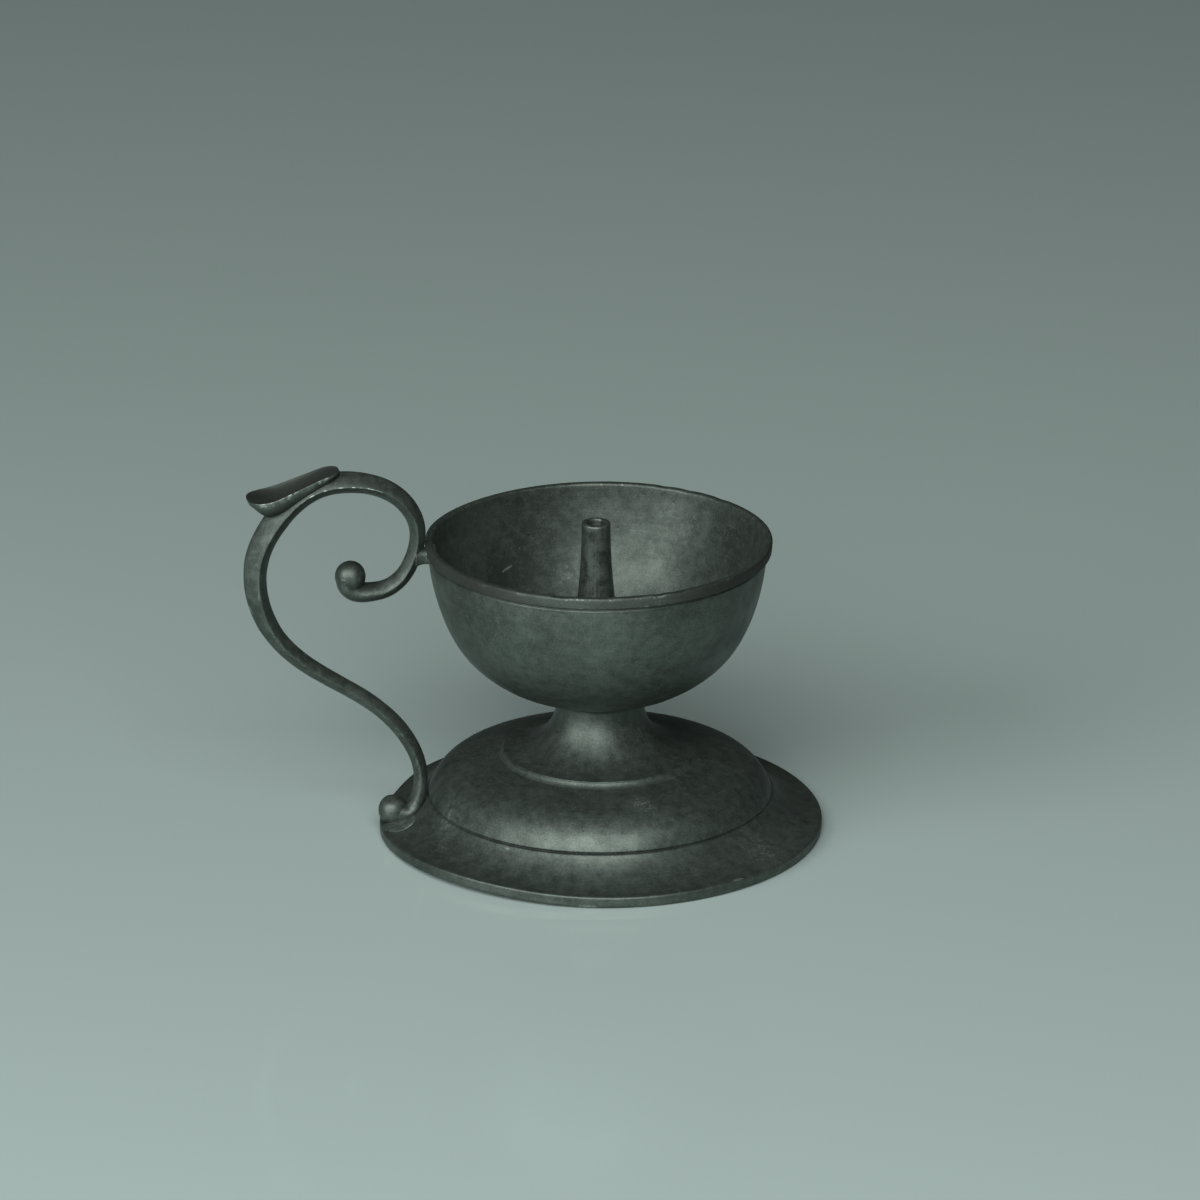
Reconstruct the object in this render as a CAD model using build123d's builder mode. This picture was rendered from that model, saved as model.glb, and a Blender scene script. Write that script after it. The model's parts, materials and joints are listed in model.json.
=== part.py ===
from build123d import *
import os
from math import asin, cos, degrees, radians, sin

os.makedirs("parts", exist_ok=True)

# Foot: a hollow dome on a wide coved flange. It stands on a flat ring under its edge.
foot_diameter = 105.0
foot_edge_height = 2.6
foot_edge_round = 0.7
foot_wall = 1.8
flange_rise = 6.2
flange_hollow = 1.15
flange_width = 12.0
dome_height = 9.15
groove_depth = 0.6
groove_height = 0.5
# Outline of the dome in from its base: (share of the width out from the seat, share of the height)
dome_bulge_shares = (0.785, 0.557)
dome_shoulder_shares = (0.558, 0.776)
# Part of the flange, in from its edge, that is solid down to the table
foot_rest_share = 0.24

# Stem: a hollow trumpet with a closed top, on a flat seat on top of the dome
stem_skirt_diameter = 45.8
stem_skirt_edge = 1.4
stem_waist_diameter = 20.5
stem_top_diameter = 22.0
stem_height = 14.55
stem_collar = 1.2
seat_width = 6.0
stem_wall = 2.0
stem_cap = 2.4

# Run of solder in the corner round the skirt
skirt_solder_width = 1.3
skirt_solder_height = 1.3
skirt_solder_hollow = 0.25

# Bowl: a deep round cup with a raised band at its rim
bowl_rim_diameter = 80.8
bowl_height = 38.6
bowl_wall = 1.5
bowl_rise = 0.4
band_height = 3.2
band_step = 0.95
band_groove = 0.3
band_slope = 0.5
lip_width = 1.8
lip_round = 0.6
seam_thickness = 0.4
seam_inset = 0.25

# Outline of the cup: (share of the throat radius, share of the height under the band)
belly_shares = (0.720, 0.243)
cheek_shares = (0.937, 0.625)

# Post: a slim flared tube for a taper, with a peened tenon that holds cup and stem together
post_top_diameter = 7.0
post_base_diameter = 16.4
post_rise = 4.2
post_base_edge = 0.7
post_lip_round = 0.3
bore_diameter = 4.2
bore_depth = 28.0
tenon_diameter = 7.0
tenon_clearance = 0.1
peen_diameter = 10.0
peen_height = 1.4

# Handle: an oval bar bent to an S, with a ball at each end
handle_reach = 38.2
handle_rise = 16.15
handle_gap = 0.35
bar_thickness = 5.6
bar_depth = 6.8
scroll_ball_diameter = 7.3
curl_ball_diameter = 7.0
curl_width = 5.3
curl_height = 13.8
curl_bed = 0.4

# Where the curl stands, as a share of the way up the flange from its edge
curl_seat_share = 0.34
# The bar's size where it passes the rim, as a share of its full size
near_bar_share = 0.68

# Upper scroll from its ball over the loop: (share of the reach out from the rim,
# share of the rise above the rim, share of the bar's size)
scroll_ball_shares = (0.417, -0.440)
scroll_shares = (
    (0.454, -0.440, 0.76),
    (0.441, -0.570, 0.79),
    (0.407, -0.655, 0.80),
    (0.302, -0.690, 0.81),
    (0.200, -0.645, 0.77),
    (0.107, -0.487, 0.72),
    (0.030, -0.158, 0.67),
    (0.008, 0.306, near_bar_share),
    (0.142, 0.793, 0.82),
    (0.390, 1.000, 0.93),
    (0.640, 0.926, 1.05),
    (0.862, 0.468, 1.08),
    (0.990, -0.158, 1.00),
    (0.985, -0.752, 0.92),
    (0.865, -1.377, 0.80),
    (0.644, -1.864, 0.72),
)
# Sway between the loop and the curl: (share of the way across, share of the way down, share of the bar)
sway_shares = (
    (0.50, 0.32, 0.68),
    (0.83, 0.64, 0.65),
)
# Lower curl: (share of its width in from the seat, share of its height, share of the bar)
curl_shares = (
    (1.00, 1.000, 0.60),
    (0.96, 0.475, 0.60),
    (0.50, 0.180, 0.74),
    (-0.02, 0.175, 0.94),
)
curl_ball_shares = (-0.19, 0.200)

# Thumb rest: a small spoon bedded in the back of the handle
thumb_length = 22.4
thumb_wide_diameter = 11.0
thumb_narrow_diameter = 8.0
thumb_dish_depth = 1.8
thumb_dish_radius = 7.4
thumb_belly_depth = 4.8
thumb_edge = 0.9
thumb_lip = 0.3
thumb_height = 4.3
thumb_tilt = 22.0
# Lowest places of dish and belly, as shares of the length from the outer end
dish_deep_share = 0.36
belly_deep_share = 0.24
# Depth of the dish at the tip, as a share of its full depth
dish_end_share = 0.35

# Lug of solder between scroll and rim, and solder under the curl
lug_diameter = 3.3
lug_lift = 0.6
curl_solder_radius = 5.2
curl_solder_drop = 3.0
curl_solder_inset = 1.6

# Heights and radii that follow from the sizes above
foot_radius = foot_diameter / 2
dome_radius = foot_radius - flange_width
flange_top = foot_edge_height + flange_rise
dome_base = flange_top + groove_height
seat_top = dome_base + dome_height
skirt_radius = stem_skirt_diameter / 2
seat_radius = skirt_radius + skirt_solder_width
opening_radius = skirt_radius - seat_width
stem_top = seat_top + stem_height
stem_top_radius = stem_top_diameter / 2
waist_radius = stem_waist_diameter / 2
waist_height = stem_top - stem_collar
cap_bottom = stem_top - stem_cap
bowl_base = stem_top + seam_thickness
rim_top = bowl_base + bowl_height
rim_radius = bowl_rim_diameter / 2
band_base = rim_top - band_height
throat_radius = rim_radius - band_step
tenon_radius = tenon_diameter / 2
tenon_hole_radius = tenon_radius + tenon_clearance


def inward(curve, share, distance):
    """Point of a curve moved square to it, to the left of its run, in the plane of the outline."""
    along = curve % share
    return curve @ share + Vector(-along.Y, along.X) * distance


def inner_arc(curve, wall, first=0):
    """Arc that follows another arc from a share of its run to its end, set in from it by a wall."""
    return ThreePointArc(*[inward(curve, share, wall) for share in (first, (first + 1) / 2, 1)])


# Foot, first as a blank that is solid underneath
with BuildPart() as foot_blank:
    with BuildSketch(Plane.XZ) as foot_outline:
        with BuildLine():
            edge = Line((foot_radius, 0), (foot_radius, foot_edge_height))
            flange = SagittaArc(edge @ 1, (dome_radius + groove_depth, flange_top), flange_hollow)
            bulge, shoulder = [
                (seat_radius + (dome_radius - seat_radius) * out, dome_base + dome_height * up)
                for out, up in (dome_bulge_shares, dome_shoulder_shares)
            ]
            dome = ThreePointArc((dome_radius, dome_base), bulge, shoulder)
            crown = TangentArc(shoulder, (seat_radius, seat_top), tangent=dome % 1)
            Polyline(flange @ 1, (dome_radius - groove_depth, flange_top), dome @ 0)
            Polyline(crown @ 1, (0, seat_top), (0, 0), edge @ 0)
        make_face()
        fillet(foot_outline.vertices().sort_by_distance(edge @ 1)[0], foot_edge_round)
    revolve(axis=Axis.Z)

curl_seat = flange @ curl_seat_share

# Foot, hollowed to an even wall and opened under the stem
with BuildPart() as foot:
    add(foot_blank.part)
    with BuildSketch(Plane.XZ):
        with BuildLine():
            cove = inner_arc(flange, foot_wall, foot_rest_share)
            inner_dome = inner_arc(dome, foot_wall)
            inner_crown = inner_arc(crown, foot_wall)
            Line(cove @ 1, inner_dome @ 0)
            Polyline(
                inner_crown @ 1,
                (opening_radius, seat_top - foot_wall),
                (opening_radius, seat_top),
                (0, seat_top),
                (0, 0),
                ((cove @ 0).X, 0),
                cove @ 0,
            )
        make_face()
    revolve(axis=Axis.Z, mode=Mode.SUBTRACT)

# Stem, its outside a quarter of an ellipse that flares from the waist to the skirt
with BuildPart() as stem:
    with BuildSketch(Plane.XZ):
        with BuildLine():
            flare_centre = (skirt_radius, waist_height)
            flare_width = skirt_radius - waist_radius
            flare_drop = waist_height - seat_top - stem_skirt_edge
            flare = EllipticalCenterArc(flare_centre, flare_width, flare_drop, 180, arc_size=90)
            throat = TangentArc(flare @ 0, (stem_top_radius, stem_top), tangent=(0, 1))
            core_width = flare_width + stem_wall
            core_drop = flare_drop + stem_wall
            core_first, core_last = [
                degrees(asin((waist_height - level) / core_drop)) for level in (cap_bottom, seat_top)
            ]
            core = EllipticalCenterArc(
                flare_centre, core_width, core_drop, 180 + core_first, arc_size=core_last - core_first
            )
            Polyline(flare @ 1, (skirt_radius, seat_top), core @ 1)
            Polyline(
                core @ 0,
                (tenon_hole_radius, cap_bottom),
                (tenon_hole_radius, stem_top),
                throat @ 1,
            )
        make_face()
    revolve(axis=Axis.Z)

# Solder in the corner between the skirt and the dome, hollow like a drawn-out drop
with BuildPart() as stem_solder:
    with BuildSketch(Plane.XZ):
        with BuildLine():
            corner = (skirt_radius, seat_top)
            meniscus = SagittaArc(
                (seat_radius, seat_top),
                (skirt_radius, seat_top + skirt_solder_height),
                skirt_solder_hollow,
            )
            Polyline(meniscus @ 1, corner, meniscus @ 0)
        make_face()
    revolve(axis=Axis.Z)

# Seam of solder between stem and bowl
with BuildPart() as bowl_solder:
    with BuildSketch(Plane.XY.offset(stem_top)):
        Circle(stem_top_radius - seam_inset)
        Circle(tenon_hole_radius, mode=Mode.SUBTRACT)
    extrude(amount=seam_thickness)

# Bowl, two arcs outside and two inside, set in by the wall below and by the lip at the rim
with BuildPart() as bowl:
    with BuildSketch(Plane.XZ):
        with BuildLine():
            body_height = band_base - bowl_base
            belly, cheek = [
                (throat_radius * across, bowl_base + body_height * up)
                for across, up in (belly_shares, cheek_shares)
            ]
            low = ThreePointArc((stem_top_radius, bowl_base + bowl_rise), belly, cheek)
            high = TangentArc(cheek, (throat_radius, band_base - band_groove), tangent=low % 1)
            inner_low = inner_arc(low, bowl_wall)
            inner_rim = (rim_radius - lip_width, rim_top)
            inner_high = TangentArc(inner_low @ 1, inner_rim, tangent=inner_low % 1)
            bowl_floor = (inner_low @ 0).Y
            Polyline(
                high @ 1,
                (throat_radius - band_groove, band_base),
                (rim_radius, band_base + band_slope),
                (rim_radius, rim_top),
                inner_rim,
            )
            Polyline(
                inner_low @ 0,
                (tenon_hole_radius, bowl_floor),
                (tenon_hole_radius, bowl_base),
                (stem_top_radius, bowl_base),
                low @ 0,
            )
        make_face()
    revolve(axis=Axis.Z)
    fillet(bowl.edges().group_by(Axis.Z)[-1], lip_round)

# Post, with its bore, its shoulder on the floor of the bowl and its tenon peened inside the stem
post_top = rim_top + post_rise
post_top_radius = post_top_diameter / 2
post_base_radius = post_base_diameter / 2
with BuildPart() as post:
    with BuildSketch(Plane.XZ):
        with BuildLine():
            taper = TangentArc(
                (post_top_radius, post_top),
                (post_base_radius, bowl_floor + post_base_edge),
                tangent=(0, -1),
            )
            Polyline(
                taper @ 1,
                (post_base_radius, bowl_floor),
                (tenon_radius, bowl_floor),
                (tenon_radius, cap_bottom),
                (peen_diameter / 2, cap_bottom),
                (tenon_radius, cap_bottom - peen_height),
                (0, cap_bottom - peen_height),
                (0, post_top),
                taper @ 0,
            )
        make_face()
    revolve(axis=Axis.Z)
    fillet(post.edges().group_by(Axis.Z)[-1], post_lip_round)
    with Locations((0, 0, post_top)):
        Hole(bore_diameter / 2, bore_depth)

# Centreline of the handle in the plane of the loop, with the size of the bar at each point
scroll_near = rim_radius + handle_gap + bar_thickness * near_bar_share / 2


def beside_rim(out, up):
    """Place in the plane of the loop, by its shares of the reach and of the rise."""
    return -scroll_near - handle_reach * out, rim_top + handle_rise * up


scroll_points = [beside_rim(out, up) for out, up, _ in scroll_shares]
curl_points = [
    (curl_width * along - curl_seat.X, curl_seat.Y - curl_bed + curl_height * up)
    for along, up, _ in curl_shares
]
loop_end, curl_start = scroll_points[-1], curl_points[0]
sway_points = [
    (
        loop_end[0] + (curl_start[0] - loop_end[0]) * across,
        loop_end[1] + (curl_start[1] - loop_end[1]) * down,
    )
    for across, down, _ in sway_shares
]
bar_points = [Vector(x, 0, z) for x, z in scroll_points + sway_points + curl_points]
bar_shares = [row[2] for row in scroll_shares + sway_shares + curl_shares]
with BuildLine(Plane.XZ) as centreline:
    Spline(*[(point.X, point.Z) for point in bar_points])
bar_path = centreline.edge()
stations = [bar_path.param_at_point(point) for point in bar_points]

# Thumb rest, above a station between two points of the scroll
thumb_station = bar_path @ ((stations[10] + stations[11]) / 2)
thumb_origin = thumb_station + Vector(0, 0, thumb_height)
thumb_along = Vector(cos(radians(thumb_tilt)), 0, sin(radians(thumb_tilt)))
thumb_side = Plane(thumb_origin, x_dir=thumb_along, z_dir=(0, -1, 0))
thumb_top = Plane(thumb_origin, x_dir=thumb_along, z_dir=thumb_side.y_dir)
thumb_half = thumb_length / 2
thumb_wide = thumb_wide_diameter / 2
thumb_narrow = thumb_narrow_diameter / 2
dish_axis_height = thumb_dish_radius - thumb_dish_depth
dish_axis = Axis(thumb_origin + thumb_side.y_dir * dish_axis_height, thumb_along)


def scoop_face(deep_share, depth, edge):
    """Half section of a scoop along the thumb rest: from its axis down to an arc, deepest at a share of
    the length and lowered by an edge at both ends."""
    left = (-thumb_half, -edge)
    deep = (thumb_length * deep_share - thumb_half, -depth)
    right = (thumb_half, -thumb_dish_depth * dish_end_share - edge)
    with BuildSketch(thumb_side) as section:
        with BuildLine():
            ThreePointArc(left, deep, right)
            Polyline(right, (thumb_half, dish_axis_height), (-thumb_half, dish_axis_height), left)
        make_face()
    return section.sketch


thumb_belly = scoop_face(belly_deep_share, thumb_belly_depth, thumb_edge)
thumb_dish = scoop_face(dish_deep_share, thumb_dish_depth, 0)
with BuildSketch(thumb_top) as thumb_leaf:
    with Locations((thumb_wide - thumb_half, 0)):
        Circle(thumb_wide)
    with Locations((thumb_half - thumb_narrow, 0)):
        Circle(thumb_narrow)
    make_hull()

# The bed that the thumb rest leaves in the handle, open above
with BuildPart() as thumb_bed:
    extrude(thumb_leaf.sketch, amount=thumb_belly_depth + bar_thickness, both=True)
    revolve(thumb_belly, axis=dish_axis, mode=Mode.INTERSECT)

with BuildPart() as thumb_rest:
    extrude(thumb_leaf.sketch, amount=thumb_lip)
    extrude(thumb_leaf.sketch, amount=-thumb_belly_depth)
    revolve(thumb_belly, axis=dish_axis, mode=Mode.INTERSECT)
    revolve(thumb_dish, axis=dish_axis, mode=Mode.SUBTRACT)

# Handle, a loft of ovals along the centreline, bedded to the flange and the thumb rest
scroll_ball_x, scroll_ball_z = beside_rim(*scroll_ball_shares)
curl_ball_across, curl_ball_up = curl_ball_shares
curl_ball_place = (
    curl_width * curl_ball_across - curl_seat.X,
    0,
    curl_seat.Y - curl_bed + curl_height * curl_ball_up,
)
with BuildPart() as handle:
    for station, share in zip(stations, bar_shares):
        with BuildSketch(Plane(bar_path @ station, x_dir=(0, 1, 0), z_dir=bar_path % station)):
            Ellipse(bar_depth * share / 2, bar_thickness * share / 2)
    loft()
    with Locations((scroll_ball_x, 0, scroll_ball_z)):
        Sphere(scroll_ball_diameter / 2)
    with Locations(curl_ball_place):
        Sphere(curl_ball_diameter / 2)
    add(thumb_bed.part, mode=Mode.SUBTRACT)
    add(foot_blank.part, mode=Mode.SUBTRACT)

# Lug of solder from the band of the bowl to the scroll
lug_start = rim_radius - bowl_wall / 2
lug_end = -bar_points[6].X
with BuildPart() as rim_lug:
    with BuildSketch(Plane.YZ.offset(-lug_start)):
        with Locations((0, band_base + lug_lift)):
            Circle(lug_diameter / 2)
    extrude(amount=lug_start - lug_end)
    add(bowl.part, mode=Mode.SUBTRACT)
    add(handle.part, mode=Mode.SUBTRACT)

# Solder in the corner under the curl
with BuildPart() as curl_solder:
    with Locations((curl_solder_inset - curl_seat.X, 0, curl_seat.Y - curl_solder_drop)):
        Sphere(curl_solder_radius)
    split(bisect_by=Plane.XY.offset(foot_edge_height))
    add(foot_blank.part, mode=Mode.SUBTRACT)
    add(handle.part, mode=Mode.SUBTRACT)

pieces = {
    "foot": foot,
    "stem": stem,
    "stem_solder": stem_solder,
    "bowl": bowl,
    "bowl_solder": bowl_solder,
    "post": post,
    "handle": handle,
    "thumb_rest": thumb_rest,
    "rim_lug": rim_lug,
    "curl_solder": curl_solder,
}
for name, piece in pieces.items():
    piece.part.label = name
    export_step(piece.part, f"parts/{name}.step")
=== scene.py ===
# %% [markdown]
# # A pewter chamberstick with a finger loop
# A chamberstick is a short candle holder that is carried from room to room. This one is cast in pewter:
# a domed foot, a trumpet stem, a deep cup with a slim post in it, and an S-shaped handle with a thumb rest.
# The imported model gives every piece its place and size. This lesson lays a finer skin over each piece and
# gives it the dark, rubbed finish of old pewter.

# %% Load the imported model
import json
import math

import bpy
import numpy as np
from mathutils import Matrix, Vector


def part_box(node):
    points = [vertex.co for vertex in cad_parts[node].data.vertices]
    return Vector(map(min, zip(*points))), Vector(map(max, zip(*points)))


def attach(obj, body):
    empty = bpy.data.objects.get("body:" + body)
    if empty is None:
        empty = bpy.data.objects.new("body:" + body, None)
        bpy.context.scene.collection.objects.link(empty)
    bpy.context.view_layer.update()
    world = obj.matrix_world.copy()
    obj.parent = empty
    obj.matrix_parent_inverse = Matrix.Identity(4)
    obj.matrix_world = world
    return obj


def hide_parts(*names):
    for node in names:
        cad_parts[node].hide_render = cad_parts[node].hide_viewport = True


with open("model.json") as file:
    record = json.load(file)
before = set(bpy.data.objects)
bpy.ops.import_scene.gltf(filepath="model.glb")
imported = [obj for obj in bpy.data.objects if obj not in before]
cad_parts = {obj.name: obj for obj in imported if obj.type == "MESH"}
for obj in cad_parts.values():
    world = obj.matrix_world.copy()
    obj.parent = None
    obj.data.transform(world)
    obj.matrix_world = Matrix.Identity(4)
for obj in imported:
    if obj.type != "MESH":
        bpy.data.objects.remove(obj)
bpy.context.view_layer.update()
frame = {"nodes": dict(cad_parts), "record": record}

MM = 0.001
print("nodes:", sorted(frame["nodes"]))

# %% [markdown]
# ## The camera
# A long lens from two metres away keeps the circles of foot and rim nearly parallel. The camera stands a
# little to the left of the middle and looks down, so that the inside of the cup shows.

# %% Camera
IMAGE_SIDE = 1200
FOCAL_PIXELS = 8270
SENSOR_WIDTH = 36.0
camera_distance = 1960 * MM
camera_turn = math.radians(-6)
camera_height_angle = math.radians(22.02)
camera_pitch = math.radians(20.467)

lens = bpy.data.cameras.new("camera")
lens.sensor_width = SENSOR_WIDTH
lens.lens = FOCAL_PIXELS / IMAGE_SIDE * SENSOR_WIDTH
camera = bpy.data.objects.new("camera", lens)
level = camera_distance * math.cos(camera_height_angle)
camera.location = (
    level * math.sin(camera_turn),
    -level * math.cos(camera_turn),
    camera_distance * math.sin(camera_height_angle),
)
camera.rotation_euler = (math.pi / 2 - camera_pitch, 0, camera_turn)
bpy.context.collection.objects.link(camera)
bpy.context.scene.camera = camera
bpy.context.scene.view_settings.view_transform = "Standard"
print("camera at", [round(value, 3) for value in camera.location], "lens", round(lens.lens, 1), "mm")

# %% [markdown]
# ## Shader arithmetic
# A finish is a sum: patina, plus turning lines, plus worn edges. Node trees hide such sums, so one small
# class wraps a socket. Plain arithmetic on it adds Math nodes, and its node method adds any other node.


# %% One class for node trees
def in_metres(place):
    """A place given in millimetres, in metres."""
    return tuple(value * MM for value in place)


class Flow:
    """A socket of a node tree. Arithmetic on it adds Math nodes; node() adds a node of any type."""

    def __init__(self, tree, socket=None):
        self.tree = tree
        self.socket = socket

    def node(self, kind, settings=None, inputs=None, out=0):
        """Adds a node: first its settings, then a value or a link on each input."""
        made = self.tree.nodes.new(kind)
        for key, value in (settings or {}).items():
            setattr(made, key, value)
        for key, value in (inputs or {}).items():
            if isinstance(value, Flow):
                self.tree.links.new(value.socket, made.inputs[key])
            else:
                made.inputs[key].default_value = value
        return Flow(self.tree, made.outputs[out] if made.outputs else None)

    def math(self, operation, *terms):
        """A Math node on one or two terms."""
        return self.node("ShaderNodeMath", {"operation": operation}, dict(enumerate(terms)))

    def __add__(self, other):
        return self.math("ADD", self, other)

    def __radd__(self, other):
        return self.math("ADD", other, self)

    def __sub__(self, other):
        return self.math("SUBTRACT", self, other)

    def __rsub__(self, other):
        return self.math("SUBTRACT", other, self)

    def __mul__(self, other):
        return self.math("MULTIPLY", self, other)

    def __rmul__(self, other):
        return self.math("MULTIPLY", other, self)

    def vector(self, operation, *terms, out=0):
        """A Vector Math node on one or two terms."""
        return self.node("ShaderNodeVectorMath", {"operation": operation}, dict(enumerate(terms)), out)

    def stretched(self, *scales):
        """A vector with its three parts multiplied by three numbers."""
        return self.vector("MULTIPLY", self, scales)

    def ramp(self, low, high):
        """Smooth step from 0 at low to 1 at high. With low above high it falls instead."""
        ends = {"Value": self, "From Min": low, "From Max": high}
        return self.node("ShaderNodeMapRange", {"interpolation_type": "SMOOTHSTEP"}, ends)

    def noise(self, scale, detail=2.0, roughness=0.5):
        """Cloudy noise from 0 to 1 at this vector."""
        inputs = {"Vector": self, "Scale": scale, "Detail": detail, "Roughness": roughness}
        return self.node("ShaderNodeTexNoise", None, inputs)

    def specks(self, scale, radius):
        """1 at the middle of each cell of a Voronoi pattern, down to 0 at a radius in cell widths."""
        return self.node("ShaderNodeTexVoronoi", None, {"Vector": self, "Scale": scale}).ramp(radius, 0)

    def mix(self, first, second):
        """Two colours mixed by this value: the first at 0, the second at 1."""
        return self.node("ShaderNodeMix", {"data_type": "RGBA"}, {0: self, 6: first, 7: second}, 2)

    def stroke(self, start, end, width):
        """1 on the line between two places, falling to 0 at half a width from it, all in millimetres."""
        start, end = in_metres(start), in_metres(end)
        span = tuple(b - a for a, b in zip(start, end))
        reach = sum(value * value for value in span)
        offset = self.vector("SUBTRACT", self, start)
        share = self.vector("DOT_PRODUCT", offset, span, out=1) * (1 / reach)
        share = self.node("ShaderNodeClamp", None, {"Value": share})
        along = self.node("ShaderNodeVectorMath", {"operation": "SCALE"}, {0: span, "Scale": share})
        away = self.vector("LENGTH", self.vector("SUBTRACT", offset, along), out=1)
        return away.ramp(width * MM / 2, 0)

    def near(self, place, radius):
        """1 at a place, falling smoothly to 0 at a radius from it, both in millimetres."""
        return self.vector("DISTANCE", self, in_metres(place), out=1).ramp(radius * MM, 0)


def new_tree(material):
    """The empty node tree of a material, ready for a finish."""
    material.use_nodes = True
    material.node_tree.nodes.clear()
    return Flow(material.node_tree)


print("shader class ready")

# %% [markdown]
# ## The floor and the light
# The holder stands on a pale, glossy sheet that mirrors it faintly. The sheet darkens away from the
# light, which does the backdrop's work. One broad lamp stands over the camera, and a second one at the left
# throws the long shadow to the right. The room around is dim, so every upper face stays dark.

# %% Floor, room and lamps
FLOOR_SIDE = 6.0
FLOOR_COLOUR = (0.385, 0.48, 0.455, 1)
FLOOR_ROUGHNESS = 0.10
ROOM_COLOUR = (0.036, 0.043, 0.041, 1)

floor_finish = bpy.data.materials.new("pale_sheet")
sheet = new_tree(floor_finish)
sheet_shader = sheet.node(
    "ShaderNodeBsdfPrincipled", None, {"Base Color": FLOOR_COLOUR, "Roughness": FLOOR_ROUGHNESS}
)
sheet.node("ShaderNodeOutputMaterial", None, {"Surface": sheet_shader})

half = FLOOR_SIDE / 2
floor_mesh = bpy.data.meshes.new("floor")
floor_corners = [(-half, -half, 0), (half, -half, 0), (half, half, 0), (-half, half, 0)]
floor_mesh.from_pydata(floor_corners, [], [(0, 1, 2, 3)])
floor_mesh.materials.append(floor_finish)
floor = bpy.data.objects.new("floor", floor_mesh)
bpy.context.collection.objects.link(floor)

room = bpy.data.worlds.new("room")
room.use_nodes = True
room.node_tree.nodes["Background"].inputs["Color"].default_value = ROOM_COLOUR
bpy.context.scene.world = room


def lamp(name, azimuth, elevation, distance, side, power):
    """A square lamp that faces the holder. Azimuth 0 is straight in front, and grows to the right."""
    light = bpy.data.lights.new(name, "AREA")
    light.size = side
    light.energy = power
    lamp_object = bpy.data.objects.new(name, light)
    turn, rise = math.radians(azimuth), math.radians(elevation)
    lamp_object.location = (
        distance * math.cos(rise) * math.sin(turn),
        -distance * math.cos(rise) * math.cos(turn),
        distance * math.sin(rise),
    )
    lamp_object.rotation_euler = (math.pi / 2 - rise, 0, turn)
    bpy.context.collection.objects.link(lamp_object)
    return lamp_object


front_lamp = lamp("front_lamp", azimuth=-8, elevation=36, distance=1.7, side=1.2, power=31)
side_lamp = lamp("side_lamp", azimuth=-54, elevation=25, distance=1.9, side=1.2, power=25)
print("lamps:", front_lamp.name, side_lamp.name)

# %% [markdown]
# ## From a grid of points to a skin
# Every piece is a closed skin made from a grid: one direction runs along an outline, the other round the
# piece. Whole arrays keep this short. The grid closes round its columns, and its rows either close too,
# as on a ring, or end in a point at each end. Each point also carries how worn and how grimy it is, and a
# place along the lathe's marks, so that the finish can follow the surface. On the handle these two values
# also carry painted light and painted shade.


# %% Skin
def skin(name, grid, wear_and_sheen, grime_and_shade, marks, ring=True):
    """Mesh over a grid of (rows, columns, 3) places. Faces join each point to the next column and the
    next row. With ring the last row joins the first, and otherwise one point closes each end."""
    rows, columns = grid.shape[:2]
    index = np.arange(rows * columns).reshape(rows, columns)
    lower = index if ring else index[:-1]
    upper = np.roll(index, -1, axis=0) if ring else index[1:]
    beside = np.roll(lower, -1, axis=1), np.roll(upper, -1, axis=1)
    faces = np.stack([lower, beside[0], beside[1], upper], axis=-1).reshape(-1, 4).tolist()
    if not ring:
        first, last = rows * columns, rows * columns + 1
        turned = np.roll(index, -1, axis=1)
        faces += np.stack([np.full(columns, first), turned[0], index[0]], axis=1).tolist()
        faces += np.stack([np.full(columns, last), index[-1], turned[-1]], axis=1).tolist()

    def per_point(values):
        """Values over the grid, one row for each point. A point that closes an end has that row's mean."""
        table = np.broadcast_to(values, (rows, columns) + values.shape[2:]).reshape(rows * columns, -1)
        if ring:
            return table
        return np.vstack([table, table[:columns].mean(axis=0), table[-columns:].mean(axis=0)])

    mesh = bpy.data.meshes.new(name)
    mesh.from_pydata(per_point(grid), [], faces)
    for key, values in (("wear_and_sheen", wear_and_sheen), ("grime_and_shade", grime_and_shade), ("marks", marks)):
        table = per_point(values)
        kind, field = ("FLOAT", "value") if table.shape[1] == 1 else ("FLOAT_VECTOR", "vector")
        mesh.attributes.new(key, kind, "POINT").data.foreach_set(field, table.astype(np.float32).ravel())
    mesh.shade_smooth()
    mesh.validate()
    piece = bpy.data.objects.new(name, mesh)
    bpy.context.collection.objects.link(piece)
    return piece


def place(piece, node, slot, finish):
    """Puts a piece in the assembly: it rides on the part, stands for a node and takes a finish. Its volume
    is a sum of signed tetrahedra, one from the origin to each triangle."""
    piece.data.materials.append(finish)
    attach(piece, "root")
    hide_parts(node)
    mesh = piece.data
    mesh.calc_loop_triangles()
    corners = np.empty(len(mesh.loop_triangles) * 3, np.int32)
    mesh.loop_triangles.foreach_get("vertices", corners)
    points = np.empty(len(mesh.vertices) * 3, np.float32)
    mesh.vertices.foreach_get("co", points)
    points = points.reshape(-1, 3).astype(float)
    first, second, third = points[corners.reshape(-1, 3).T]
    volume = (first * np.cross(second, third)).sum() / 6
    size = np.round(np.ptp(points, axis=0) / MM, 1)
    print(piece.name, "triangles", len(first), "volume mm3", round(volume / MM**3), "size mm", size)


print("skin and place ready")

# %% [markdown]
# ## Outlines of turned pieces
# Foot, stem, cup and post were cast and then turned on a lathe, so each is one outline taken round an
# axis. An outline is lines and arcs, written as (radius, height). Old pewter has no sharp corners, and one
# pass of a bell curve along the whole outline wears them all round at once. Where the worn outline still
# turns sharply outwards, hands have rubbed it bright; where it turns inwards, dirt has stayed.

# %% Arcs, corners and offsets
ARC_POINTS = 40


def swung(start, centre, end, count=ARC_POINTS):
    """Points that swing about a centre from start to end, the shorter way, in even steps. The places are
    complex numbers."""
    turn = np.angle((end - centre) / (start - centre))
    points = centre + (start - centre) * np.exp(1j * turn * np.linspace(0, 1, count))
    return np.stack([points.real, points.imag], axis=1)


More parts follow.
